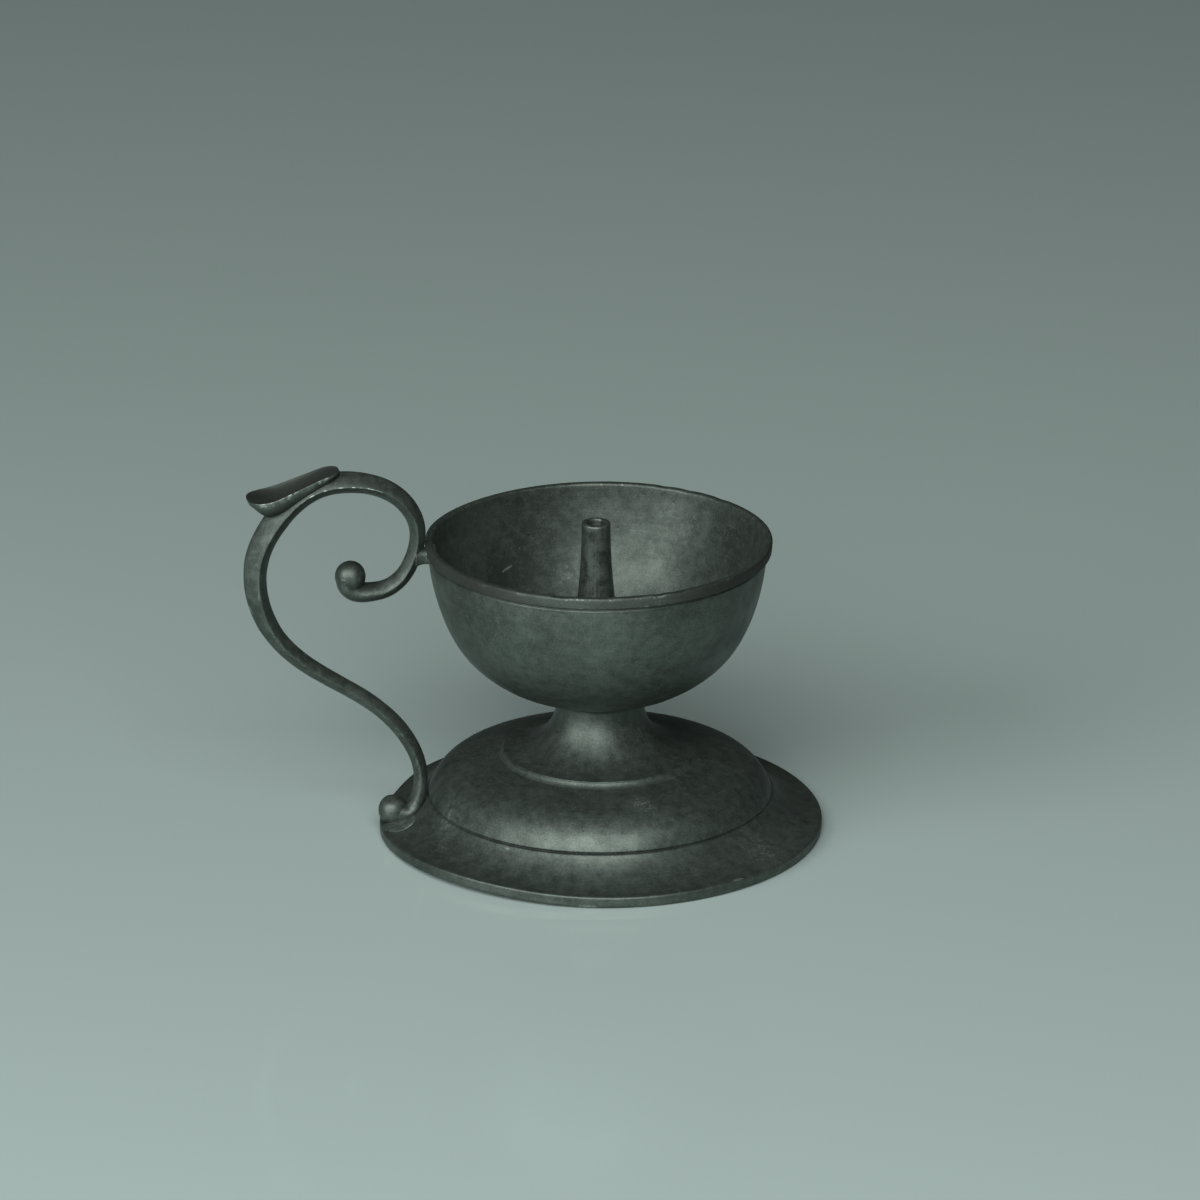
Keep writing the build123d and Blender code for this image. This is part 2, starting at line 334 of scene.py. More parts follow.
def arc(start, middle, end):
    """Circle through three points. Its centre follows from the ratio of the two chords from the start."""
    a, b, c = (complex(*point) for point in (start, middle, end))
    ratio = (c - a) / (b - a)
    centre = a + (b - a) * (ratio - abs(ratio) ** 2) / (2j * ratio.imag)
    return swung(a, centre, c)


def tangent_arc(start, along, end):
    """Circle that leaves the start in a given direction and reaches the end. Its centre lies square to
    that direction, as far from the start as from the end."""
    a, c = complex(*start), complex(*end)
    square = 1j * complex(*along) / abs(complex(*along))
    chord = c - a
    radius = abs(chord) ** 2 / (2 * (chord * square.conjugate()).real)
    return swung(a, a + square * radius, c)


def corner(before, tip, after, reach):
    """Round corner: a parabola that leaves one side and joins the other, each a reach from the tip."""
    before, tip, after = (np.array(point) for point in (before, tip, after))
    start = tip + (before - tip) * reach / np.linalg.norm(before - tip)
    end = tip + (after - tip) * reach / np.linalg.norm(after - tip)
    share = np.linspace(0, 1, ARC_POINTS // 4)[:, None]
    return (1 - share) ** 2 * start + 2 * share * (1 - share) * tip + share**2 * end


def set_in(points, distance):
    """A run of points moved square to itself, to its left, by a distance."""
    along = np.gradient(points, axis=0)
    along /= np.linalg.norm(along, axis=1, keepdims=True)
    return points + np.stack([-along[:, 1], along[:, 0]], axis=1) * distance


print("an arc has", ARC_POINTS, "points")

# %% Worn outline
OUTLINE_STEP = 0.04 * MM
CORNER_WEAR = 0.11 * MM
RUB_WIDTH = 0.32 * MM
BRIGHT_BEND = 1.1 / MM
DIRTY_BEND = 0.55 / MM
EVEN_SHARE = 0.45


def length_so_far(points):
    """Length along a run of points up to each of them: the sum of the steps before it."""
    return np.concatenate([[0], np.cumsum(np.linalg.norm(np.diff(points, axis=0), axis=1))])


def smoothed(values, width, closed):
    """A run of values with a bell curve of a given width passed along it. An open run is carried on past
    its ends, turned about them."""
    reach = int(4 * width / OUTLINE_STEP) + 1
    bell = np.exp(-0.5 * (np.arange(-reach, reach + 1) * OUTLINE_STEP / width) ** 2)
    bell /= bell.sum()
    if closed:
        padded = np.concatenate([values[-reach:], values, values[:reach]])
    else:
        front = 2 * values[0] - values[reach:0:-1]
        back = 2 * values[-1] - values[-2 : -reach - 2 : -1]
        padded = np.concatenate([front, values, back])
    return np.convolve(padded, bell, mode="valid")


def worn_outline(stretches, rows, closed=True):
    """Joins stretches of points, rounds every corner, and returns rows along the result: places, length
    so far, wear and grime. Rows lie closer together where the outline bends more."""
    points = np.vstack([np.atleast_2d(stretch) for stretch in stretches])
    if closed:
        points = np.vstack([points, points[:1]])
    run = length_so_far(points)
    even = np.linspace(0, run[-1], int(run[-1] / OUTLINE_STEP), endpoint=not closed)
    fine = [smoothed(np.interp(even, run, points[:, axis]), CORNER_WEAR, closed) for axis in (0, 1)]
    place_on = fine[0] + 1j * fine[1]
    step = np.roll(place_on, -1) - place_on
    if not closed:
        step[-1] = step[-2]
    turn = np.angle(np.roll(step, -1) / step)
    if not closed:
        turn[-2:] = 0
    bend = smoothed(turn / OUTLINE_STEP, RUB_WIDTH, closed)
    weight = EVEN_SHARE / even.size + (1 - EVEN_SHARE) * np.abs(turn) / np.abs(turn).sum()
    share = np.concatenate([[0], np.cumsum(weight)[:-1]])
    chosen = np.interp(np.linspace(0, share[-1], rows, endpoint=not closed), share, np.arange(even.size))
    pick = lambda values: np.interp(chosen, np.arange(even.size), values)
    wear_and_sheen = np.clip(pick(bend) / BRIGHT_BEND, 0, 1)
    grime_and_shade = np.clip(-pick(bend) / DIRTY_BEND, 0, 1)
    return np.stack([pick(fine[0]), pick(fine[1])], axis=1), pick(even), wear_and_sheen, grime_and_shade


print("corner wear", CORNER_WEAR / MM, "mm")

# %% [markdown]
# ## The lathe, and what the lathe and the years left uneven
# A turned piece is never quite round: the casting shrank, the foot was knocked, the rim was bent and
# pressed back. A few whole waves round the piece, each with its own phase, give that unevenness.

# %% Lathe
MARK_WIDTH = 0.42 * MM
MARK_TURNS = 1.6


def waves(angle, seed, first=2, last=7):
    """Sum of whole waves round a piece, weaker the shorter they are, with phases from a seed. It stays
    between -1 and 1."""
    draw = np.random.default_rng(seed)
    order = np.arange(first, last)[:, None, None]
    phase = draw.uniform(0, 2 * np.pi, order.shape)
    weight = draw.uniform(0.5, 1.0, order.shape) / order
    return (weight * np.cos(order * angle + phase)).sum(axis=0) / weight.sum()


def bump_at(angle, centre, width):
    """Bell curve round a piece: 1 at an angle, in degrees, and falling over a width."""
    away = (angle - math.radians(centre) + np.pi) % (2 * np.pi) - np.pi
    return np.exp(-0.5 * (away / math.radians(width)) ** 2)


def lathe(name, outline, segments, uneven, rubbed, soiled, seed, closed=True):
    """Surface of revolution: radius r and height z go round the axis as (r cos a, r sin a, z), after the
    function uneven has moved r and z. Rubbed and soiled scale the wear and the grime, and both come and go
    round the piece."""
    points, run, wear_and_sheen, grime_and_shade = outline
    if not closed:
        points, run, wear_and_sheen, grime_and_shade = points[1:-1], run[1:-1], wear_and_sheen[1:-1], grime_and_shade[1:-1]
    angle = np.linspace(0, 2 * np.pi, segments, endpoint=False)[None, :]
    radius, height = uneven(points[:, :1], points[:, 1:], angle)
    radius, height, turn, along = np.broadcast_arrays(radius, height, angle, run[:, None] / MARK_WIDTH)
    grid = np.stack([radius * np.cos(turn), radius * np.sin(turn), height], axis=-1)
    marks = np.stack([MARK_TURNS * np.cos(turn), MARK_TURNS * np.sin(turn), along], axis=-1)
    worn_here = np.clip(0.5 + 1.1 * waves(angle, seed, 3, 50), 0.25, 1)
    soil_here = np.clip(0.7 + 0.6 * waves(angle, seed + 1, 2, 14), 0, 1)
    wear_and_sheen, grime_and_shade = rubbed * wear_and_sheen[:, None] * worn_here, soiled * grime_and_shade[:, None] * soil_here
    return skin(name, grid, wear_and_sheen, grime_and_shade, marks, ring=closed)


print("lathe marks every", MARK_WIDTH / MM, "mm")

# %% [markdown]
# ## Old pewter
# Pewter is tin with a little copper or antimony. It starts bright and turns a dark, slightly green grey.
# The finish is a rough metal whose colour wanders between dark and mid grey patches. Lathe marks run
# round it, pits and scratches break it, and the wear and grime of each point make edges bright and
# grooves black. Many placed patches, and on the handle part of the wear and grime, are painted light and
# shade: lighter sides where light falls, darker tops, and a painted shadow where the handle meets the
# foot. One function makes all the finishes, with more or less of each layer.

# %% Pewter
DARK_PATINA = (0.043, 0.056, 0.048, 1)
MID_PATINA = (0.102, 0.128, 0.111, 1)
RUBBED_AND_SHEEN = (0.31, 0.37, 0.335, 1)
DIRT_AND_SHADE = (0.014, 0.018, 0.015, 1)
PATCH_SCALE = 70.0
CLOUD_SCALE = 420.0
CHIP_SCALE = 800.0
GRAIN_SCALE = 2600.0
PIT_SCALE = 420.0
FLECK_SCALE = 640.0
METAL_SHARE = 0.72
LINE_HEIGHT = 5e-6
CLOUD_HEIGHT = 4e-5
GRAIN_HEIGHT = 8e-6
PIT_DEPTH = 4e-5
SCRATCH_DEPTH = 1e-5


def pewter(name, tone=1.0, lines=1.0, mottle=1.0, streaks=0.0, strokes=(), patches_of_stain_and_light=(), rough=0.48):
    """Finish of old pewter. Tone scales the share of mid grey, lines the lathe marks, mottle the clouds and
    streaks the streaky stain along the piece. Strokes are single scratches, and the paler and darker
    patches are given as in the lists below: some are stains of the patina, many are painted light and
    painted shade. The dull skin on the metal scatters light, so only a share of it is metallic."""
    finish = bpy.data.materials.new(name)
    tree = new_tree(finish)
    here = tree.node("ShaderNodeTexCoord", out=3)
    marks = tree.node("ShaderNodeAttribute", {"attribute_name": "marks"}, out=1)
    wear_and_sheen = tree.node("ShaderNodeAttribute", {"attribute_name": "wear_and_sheen"}, out=2)
    grime_and_shade = tree.node("ShaderNodeAttribute", {"attribute_name": "grime_and_shade"}, out=2)

    patch = here.noise(PATCH_SCALE, 3.0, 0.6).ramp(0.32, 0.70)
    cloud = here.noise(CLOUD_SCALE, 4.0, 0.62)
    chip = here.noise(CHIP_SCALE, 3.0, 0.6).ramp(0.44, 0.64)
    grain = here.noise(GRAIN_SCALE, 2.0, 0.6)
    line = marks.noise(1.0, 3.0, 0.7)
    shade = 0.24 + 0.42 * patch + 1.5 * mottle * (cloud - 0.5)
    shade = shade + 1.4 * (grain - 0.5) + 0.5 * lines * (line - 0.5)
    if streaks:
        stain = marks.stretched(5.0, 5.0, 0.02).noise(1.0, 3.0, 0.6)
        shade = shade + 2.0 * streaks * (stain - 0.5)
    pale_stain_and_light = 0.0
    # Each patch makes the colour paler or darker near a place, and pale patches add light flecks: some are
    # patina stains, many are painted light and painted shade.
    for middle, radius, strength in patches_of_stain_and_light:
        stain_and_light = strength * here.near(middle, radius) * (0.45 + 0.9 * chip)
        shade = shade + stain_and_light
        pale_stain_and_light = pale_stain_and_light + stain_and_light
    colour = (tone * shade).mix(DARK_PATINA, MID_PATINA)

    pit = here.specks(PIT_SCALE, 0.22) * here.noise(PATCH_SCALE * 1.7, 1.0).ramp(0.52, 0.66)
    fleck = here.specks(FLECK_SCALE, 0.20) * here.noise(PATCH_SCALE * 2.3, 1.0).ramp(0.50, 0.62)
    scratches_and_sheen = marks.stretched(0.35, 0.35, 0.9).noise(2.2, 1.0).ramp(0.70, 0.78) * cloud.ramp(0.45, 0.65)
    scratches_and_sheen = 0.5 * scratches_and_sheen + 0.35 * fleck
    if patches_of_stain_and_light:
        scratches_and_sheen = scratches_and_sheen + 0.8 * pale_stain_and_light.ramp(0.35, 0.95) * grain.ramp(0.45, 0.65)
    for start, end, width, strength in strokes:
        scratches_and_sheen = scratches_and_sheen + strength * here.stroke(start, end, width) * grain.ramp(0.30, 0.55)

    # Grime mixes towards the darkest colour: dirt in the hollows of the turned pieces, and on the handle
    # painted shadow near the foot, painted shade under the curl's ball and over the top of the loop.
    dirt_and_shade = (grime_and_shade * (0.45 + 0.9 * cloud)).ramp(0.15, 0.95)
    # Wear mixes towards the rubbed colour: rubbed edges, and on the outer flank of the handle's lower loop
    # and sway a painted sheen.
    bright = (wear_and_sheen * (0.52 + 0.65 * chip)).ramp(0.32, 0.98)
    colour = (0.3 * pit).mix(colour, DIRT_AND_SHADE)
    colour = (0.80 * scratches_and_sheen).mix(colour, RUBBED_AND_SHEEN)
    colour = dirt_and_shade.mix(colour, DIRT_AND_SHADE)
    colour = (0.90 * bright).mix(colour, RUBBED_AND_SHEEN)

    roughness = rough + 0.20 * (cloud - 0.5) + 0.12 * (0.5 - patch) - 0.18 * bright + 0.2 * dirt_and_shade
    height = LINE_HEIGHT * lines * line + CLOUD_HEIGHT * cloud + GRAIN_HEIGHT * grain
    height = height - PIT_DEPTH * pit - SCRATCH_DEPTH * scratches_and_sheen
    normal = tree.node("ShaderNodeBump", None, {"Strength": 1.0, "Distance": 1.0, "Height": height})
    shader = tree.node(
        "ShaderNodeBsdfPrincipled",
        None,
        {
            "Base Color": colour,
            "Metallic": METAL_SHARE + 0.20 * bright - 0.40 * dirt_and_shade,
            "Roughness": roughness,
            "Normal": normal,
        },
    )
    tree.node("ShaderNodeOutputMaterial", None, {"Surface": shader})
    print(name, "nodes", len(finish.node_tree.nodes))
    return finish


# %% Finishes
# Scratches: (start, end, width, strength), in millimetres, with a strength from 0 to 1
knocks = [
    ((27.8, -32.4, 7.4), (31.6, -37.8, 3.9), 0.5, 0.5),
    ((31.7, -29.3, 7.0), (38.4, -32.7, 3.4), 0.5, 0.5),
    ((33.5, -31.8, 5.2), (37.5, -28.5, 4.7), 0.7, 0.5),
    ((26.6, -44.6, 2.7), (28.6, -43.6, 2.8), 1.1, 0.8),
    ((7.2, -42.6, 6.9), (11.0, -43.6, 5.7), 0.5, 0.4),
    ((-25.3, -33.1, 8.3), (-25.0, -33.3, 8.2), 1.0, 0.8),
    ((-10.0, -51.5, 0.5), (-6.6, -52.1, 0.5), 1.3, 1.0),
    ((-22.6, -33.3, 71.4), (-21.0, -34.3, 71.4), 1.0, 0.9),
    ((-30.6, -26.2, 71.4), (-29.6, -27.4, 71.4), 1.0, 0.8),
    ((-12.0, -38.5, 71.4), (-1.4, -40.2, 71.4), 0.7, 0.6),
    ((4.5, -31.5, 17.0), (8.5, -29.5, 17.4), 0.8, 0.5),
    ((-20.2, 28.9, 54.0), (-18.0, 30.3, 54.8), 0.8, 1.0),
    ((-27.2, -28.9, 66.0), (-26.6, -28.5, 61.0), 2.2, 0.12),
]
# Patches: (middle, radius, strength), in millimetres, paler with a strength above 0 and darker below it.
# Some are blotches of the patina; many are painted light and shade, as said above each group.
patches = [
    # Inside the cup: partly mottling, partly a painted highlight on the back wall beside the post and up to
    # the rim at the right, and painted shade at the left, low at the right and at the far right
    ((-13.7, 33.3, 56.3), 12.0, -0.45),
    ((-21.0, 27.8, 53.5), 10.0, -0.35),
    ((17.7, 32.0, 58.1), 15.0, 0.25),
    ((12.8, 30.2, 50.1), 9.0, -0.15),
    ((24.6, 29.3, 65.2), 12.0, 0.40),
    ((-4.7, 33.0, 51.0), 11.0, 0.45),
    ((34.8, 15.0, 63.6), 11.0, -0.25),
    # Flange at the right: painted light on the side away from the lamps, over a haze of fine scratches
    ((34.5, -31.0, 5.0), 12.0, 0.80),
    ((42.0, -19.0, 5.5), 11.0, 0.45),
    # Paler places on the dome: a haze low at the left and two blotches at the front
    ((-37.5, -16.0, 9.5), 8.0, 0.70),
    ((5.7, -30.5, 17.1), 5.0, 0.75),
    ((8.3, -32.5, 16.3), 5.0, 0.55),
    # Painted shade on the crown at the left and at the right
    ((-25.0, -14.0, 17.7), 12.0, -0.25),
    ((21.6, -18.6, 17.7), 12.0, -0.25),
    # Painted highlight on the flange just below the groove at the front
    ((-4.0, -44.0, 6.5), 10.0, 0.30),
    # Painted light on the cup's wall at the left, inside, where it faces right
    ((-36.0, 4.0, 68.0), 14.0, 0.30),
]
turned_pewter = pewter("turned_pewter", strokes=knocks, patches_of_stain_and_light=patches)
# Painted shade on the low scroll near its ball and on the top of the loop, and painted light on the outer
# side of the loop at the left
handle_painted_light_and_shade = [
    ((-54.0, -1.0, 63.0), 16.0, -0.55),
    ((-81.0, -2.0, 68.0), 12.0, 0.35),
    ((-55.0, -2.0, 85.0), 15.0, -0.70),
]
cast_pewter = pewter("cast_pewter", lines=0.4, mottle=1.3, patches_of_stain_and_light=handle_painted_light_and_shade, rough=0.50)
pale_solder = pewter("pale_solder", tone=1.4, lines=0.0, rough=0.52)
wiped_solder = pewter("wiped_solder", tone=0.9, lines=0.0, rough=0.58)

# %% [markdown]
# ## Foot
# The foot is a hollow dome on a wide flange, cast in one and turned. A flat ring under its edge stands on
# the table. The flange is a shallow cove, a groove marks the start of the dome, and the flat seat on top
# carries the stem. It has been knocked: its edge is bent up at the front left and pressed in at the back.

# %% Foot
_, foot_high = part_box("foot")
_, stem_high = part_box("stem")
_, solder_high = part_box("stem_solder")
foot_radius = foot_high.x
seat_top = foot_high.z
seat_radius = solder_high.x
skirt_radius = stem_high.x
stem_top = stem_high.z
FOOT_WALL = 1.8 * MM
foot_edge = 2.6 * MM
flange_width = 12.0 * MM
flange_top = foot_edge + 6.2 * MM
flange_hollow = 1.5 * MM
groove = 0.6 * MM
dome_base = flange_top + 0.5 * MM
dome_radius = foot_radius - flange_width
opening_radius = skirt_radius - 6.0 * MM
edge_round = 0.6 * MM
rest_share = 0.24
bulge_shares = (0.785, 0.557)
shoulder_shares = (0.558, 0.776)


def on_dome(shares):
    """Place on the dome from shares of its width out from the seat and of its height."""
    out, up = shares
    return (seat_radius + (dome_radius - seat_radius) * out, dome_base + (seat_top - dome_base) * up)


flange_start = np.array((foot_radius, foot_edge))
flange_end = np.array((dome_radius + groove, flange_top))
chord = flange_end - flange_start
hollow_way = np.array((-chord[1], chord[0])) / np.linalg.norm(chord)
flange = arc(flange_start, (flange_start + flange_end) / 2 + hollow_way * flange_hollow, flange_end)
dome = arc((dome_radius, dome_base), on_dome(bulge_shares), on_dome(shoulder_shares))
crown = tangent_arc(dome[-1], dome[-1] - dome[-2], (seat_radius, seat_top))
cove = set_in(flange, FOOT_WALL)[int(rest_share * ARC_POINTS) :]
inner_dome = set_in(dome, FOOT_WALL)
inner_crown = set_in(crown, FOOT_WALL)
foot_outline = worn_outline(
    [
        (cove[0][0], 0),
        corner((0, 0), (foot_radius, 0), flange_start, edge_round),
        corner((foot_radius, 0), flange_start, flange[ARC_POINTS // 4], edge_round),
        flange[ARC_POINTS // 8 :],
        (dome_radius - groove, flange_top),
        dome,
        crown,
        (opening_radius, seat_top),
        (opening_radius, seat_top - FOOT_WALL),
        inner_crown[::-1],
        inner_dome[::-1],
        cove[::-1],
    ],
    rows=230,
)
print("foot outline", round(foot_outline[1][-1] / MM), "mm long")

# %% Foot, made uneven
FOOT_SEGMENTS = 400
edge_lift = 1.2 * MM
edge_dent = 1.6 * MM
edge_wave = 0.14 * MM
bent_angle = 226
bent_width = 22
raised_angle = 48
raised_share = 0.45
dented_angle = 157
dented_width = 11
front_angle = 270
cleaned_width = 32


def knocked(radius, height, angle):
    """The flange rises with the square of the way out from the dome: by a bell curve at the bent place, a
    smaller one across from it, and low waves all round. A dent presses the edge in behind the handle. Dirt
    fills the groove, least at the front."""
    out = np.clip((radius - dome_radius) / flange_width, 0, 1) ** 2
    lift = bump_at(angle, bent_angle, bent_width) + raised_share * bump_at(angle, raised_angle, bent_width)
    lift = edge_lift * lift + edge_wave * (1 + waves(angle, 11)) / 2
    away = np.hypot(radius - dome_radius + groove, height - flange_top)
    kept = 0.85 - 0.6 * bump_at(angle, front_angle, cleaned_width)
    filled = groove * np.exp(-((away / groove) ** 2)) * kept
    pressed = edge_dent * bump_at(angle, dented_angle, dented_width) - 0.5 * edge_wave * waves(angle, 12)
    return radius - pressed * out + filled, height + lift * out


foot = lathe("foot_dome", foot_outline, FOOT_SEGMENTS, knocked, rubbed=0.4, soiled=0.5, seed=13)
place(foot, "foot", "pewter", turned_pewter)

# %% [markdown]
# ## Stem
# The stem is a trumpet: its side is a quarter of an ellipse that flares from a narrow waist to a skirt,
# which stands on the seat of the dome. It is hollow, so that it weighs less and cools evenly when cast.

# %% Stem
STEM_SEGMENTS = 320
waist_radius = 10.25 * MM
stem_top_radius = 11.0 * MM
waist_height = stem_top - 1.2 * MM
stem_wall = 2.0 * MM
cap_bottom = stem_top - 2.4 * MM
tenon_hole = 3.6 * MM
skirt_edge = 1.4 * MM
flare_width = skirt_radius - waist_radius
flare_drop = waist_height - seat_top - skirt_edge


def flare(grow, first, last):
    """Stretch of an ellipse about a point level with the waist and over the skirt, from one angle to
    another, in degrees, grown by a wall."""
    angle = np.radians(np.linspace(first, last, ARC_POINTS))
    across = skirt_radius - (flare_width + grow) * np.cos(angle)
    return np.stack([across, waist_height - (flare_drop + grow) * np.sin(angle)], axis=1)


core_angles = [
    math.degrees(math.asin((waist_height - height) / (flare_drop + stem_wall)))
    for height in (cap_bottom, seat_top)
]
core = flare(stem_wall, *core_angles)
stem_outline = worn_outline(
    [
        core[-1],
        (skirt_radius, seat_top),
        flare(0, 90, 0),
        tangent_arc((waist_radius, waist_height), (0, 1), (stem_top_radius, stem_top)),
        (tenon_hole, stem_top),
        (tenon_hole, cap_bottom),
        core,
    ],
    rows=130,
)


def out_of_round(amount, seed):
    """Function that moves a turned piece's radius by a share of low waves round it."""
    return lambda radius, height, angle: (radius * (1 + amount * waves(angle, seed)), height)


# Its one patch is painted light: the right side of the stem is made paler.
stem_pewter = pewter("stem_pewter", lines=0.5, streaks=0.35, patches_of_stain_and_light=[((9.0, -7.5, 25.0), 7.0, 0.7)])
stem_uneven = out_of_round(0.006, 21)
stem = lathe("stem_trumpet", stem_outline, STEM_SEGMENTS, stem_uneven, rubbed=0.2, soiled=0.5, seed=22)
place(stem, "stem", "pewter", stem_pewter)

# %% [markdown]
# ## Solder round the stem
# A run of pale solder fills the corner between skirt and dome. Its face is hollow, as a liquid leaves it,
# and it was wiped by hand, so it swells and shrinks round the ring and gathers at the right.

# %% Run of solder
solder_height = solder_high.z - seat_top
solder_bed = 0.15 * MM
solder_hollow = 0.18 * MM
foot_of_run = np.array((seat_radius, seat_top))
head_of_run = np.array((skirt_radius, seat_top + solder_height))
middle_of_run = (foot_of_run + head_of_run) / 2 - solder_hollow
solder_outline = worn_outline(
    [
        (skirt_radius - solder_bed, seat_top - solder_bed),
        (seat_radius, seat_top - solder_bed),
        arc(foot_of_run, middle_of_run, head_of_run),
        (skirt_radius - solder_bed, seat_top + solder_height),
    ],
    rows=36,
)
SOLDER_SEGMENTS = 480
gather_angle = -48
gather_width = 22
highest_swell = 1.1


def lumpy(radius, height, angle):
    """The run grows and shrinks out from its corner with short waves round the ring, and more at the right,
    where the solder gathered."""
    gather = bump_at(angle, gather_angle, gather_width)
    swell = 0.85 + 0.16 * waves(angle, 31, 3, 40) + 0.5 * gather * (0.3 + waves(angle, 32, 8, 60))
    higher = np.minimum(swell, highest_swell)
    return skirt_radius + (radius - skirt_radius) * swell, seat_top + (height - seat_top) * higher


run_of_solder = lathe("stem_run", solder_outline, SOLDER_SEGMENTS, lumpy, rubbed=0.25, soiled=0.3, seed=33)
place(run_of_solder, "stem_solder", "solder", wiped_solder)

# %% [markdown]
# ## Cup
# The cup is a round bowl of two arcs with a band at its rim. A step and a groove set the band off. The
# inside follows the same arcs and flares with the band to a thin lip, which is where the holder is gripped
# and knocked, so it shines in places.

# %% Cup outline
cup_low, cup_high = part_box("bowl")
rim_radius = cup_high.x
cup_base = cup_low.z
rim_top = cup_high.z
BAND_DARKENING = 3.0
cup_wall = 1.5 * MM
cup_rise = 0.4 * MM
band_base = rim_top - 3.2 * MM
throat_radius = rim_radius - 0.95 * MM
band_groove = 0.35 * MM
band_slope = 0.7 * MM
lip_width = 1.8 * MM
lip_reach = 0.72 * MM
belly_shares = (0.720, 0.243)
cheek_shares = (0.937, 0.625)
body_height = band_base - cup_base
belly, cheek = [
    (throat_radius * across, cup_base + body_height * up) for across, up in (belly_shares, cheek_shares)
]
low_arc = arc((stem_top_radius, cup_base + cup_rise), belly, cheek)
high_arc = tangent_arc(low_arc[-1], low_arc[-1] - low_arc[-2], (throat_radius, band_base - band_groove))
inner_low = set_in(low_arc, cup_wall)
inner_rim = (rim_radius - lip_width, rim_top)
inner_high = tangent_arc(inner_low[-1], inner_low[-1] - inner_low[-2], inner_rim)
cup_floor = inner_low[0][1]
cup_outline = worn_outline(
    [
        (tenon_hole, cup_base),
        (stem_top_radius, cup_base),
        low_arc,
        high_arc[1:],
        (throat_radius - band_groove, band_base),
        (rim_radius, band_base + band_slope),
        corner((rim_radius, band_base), (rim_radius, rim_top), inner_rim, lip_reach),
        corner((rim_radius, rim_top), inner_rim, inner_high[-3], lip_reach),
        inner_high[-4::-1],
        inner_low[::-1],
        (tenon_hole, cup_floor),
    ],
    rows=230,
)
cup_points, cup_run, cup_wear, cup_grime = cup_outline
# The band and the outer corner of the lip are made much darker.
on_band = (cup_points[:, 1] > band_base) & (cup_points[:, 0] > rim_radius - band_groove)
cup_outline = cup_points, cup_run, cup_wear, np.maximum(cup_grime, BAND_DARKENING * on_band)
print("cup outline", round(cup_run[-1] / MM), "mm long")

# %% Cup, made uneven
CUP_SEGMENTS = 432
rim_wave = 0.28 * MM
dent_depth = 0.30 * MM
dent_width = 1.6
dent_angles = (38, 52, 61, 251, 284, 291)
body_shift = 0.5 * MM
belly_swell = 0.40 * MM
belly_share = 0.27
belly_spread = 0.16
lip_pull = 0.45 * MM
pull_angle = 163
pull_width = 15


def handled(radius, height, angle):
    """Waves that grow with the cube of the height in the cup, a few small dents in the lip, a belly that
    swells by a bell curve, a body that leans a little to the handle, and a lip pulled out beside it."""
    up = np.clip((height - cup_base) / (rim_top - cup_base), 0, 1)
    dents = sum(bump_at(angle, dent_angle, dent_width) for dent_angle in dent_angles)
    at_lip = np.clip((height - band_base) / (rim_top - band_base), 0, 1) ** 2
    lower = 0.5 * rim_wave * waves(angle, 42) * up**3 - dent_depth * dents * at_lip * 0.5
    shift = body_shift * np.clip(up / 0.12, 0, 1) * np.clip((1.02 - up) / 0.18, 0, 1)
    swell = belly_swell * np.exp(-(((up - belly_share) / belly_spread) ** 2))
    pulled = lip_pull * bump_at(angle, pull_angle, pull_width) * up**3
    wider = radius + swell + pulled + rim_wave * waves(angle, 41) * up**3
    return wider - shift * np.cos(angle), height + lower


cup = lathe("cup", cup_outline, CUP_SEGMENTS, handled, rubbed=0.7, soiled=0.35, seed=43)
place(cup, "bowl", "pewter", turned_pewter)

# %% [markdown]
# ## Seam under the cup
# A thin film of solder joins cup and stem. Only its edge shows, as a faint line under the cup.

# %% Seam
SEAM_SEGMENTS = 240
seam_low, seam_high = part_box("bowl_solder")
seam_outline = worn_outline(
    [
        (tenon_hole, seam_low.z),
        (seam_high.x, seam_low.z),
        (seam_high.x, seam_high.z),
        (tenon_hole, seam_high.z),
    ],
    rows=60,
)
seam_uneven = out_of_round(0.012, 51)
seam = lathe("cup_seam", seam_outline, SEAM_SEGMENTS, seam_uneven, rubbed=0.0, soiled=1.0, seed=52)
place(seam, "bowl_solder", "solder", pale_solder)

# %% [markdown]
# ## Post
# A slim taper stands over the post, which is a flared tube. Its tenon goes through the floor of the cup and
# the top of the stem, and is hammered over below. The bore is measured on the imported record.

# %% Post
post_low, post_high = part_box("post")
bore = next(mount for mount in frame["record"]["mounts"] if mount["name"] == "taper_bore")
bore_radius = bore["dims"]["r_mm"] * MM
bore_bottom = post_high.z - bore["dims"]["length_mm"] * MM
post_top = post_high.z
post_top_radius = 3.4 * MM
post_base_radius = post_high.x
post_base = cup_floor + 0.7 * MM
tenon_radius = 3.5 * MM
peen_radius = 5.0 * MM
post_lip = 0.6 * MM
taper = tangent_arc((post_top_radius, post_top), (0, -1), (post_base_radius, post_base))[::-1]
post_outline = worn_outline(
    [
        (0, post_low.z),
        (tenon_radius, post_low.z),
        (peen_radius, cap_bottom),
        (tenon_radius, cap_bottom),
        (tenon_radius, cup_floor),
        (post_base_radius, cup_floor),
        taper[:-1],
        corner(taper[-2], (post_top_radius, post_top), (0, post_top), post_lip),
        corner((post_top_radius, post_top), (bore_radius, post_top), (bore_radius, 0), post_lip),
        (bore_radius, bore_bottom),
        (0, bore_bottom),
    ],
    rows=170,
    closed=False,
)
POST_SEGMENTS = 160
post_wave = 0.02
post_shift = 0.9 * MM
cut_height = post_top - 7.2 * MM
cut_depth = 0.16 * MM
cut_width = 0.22 * MM


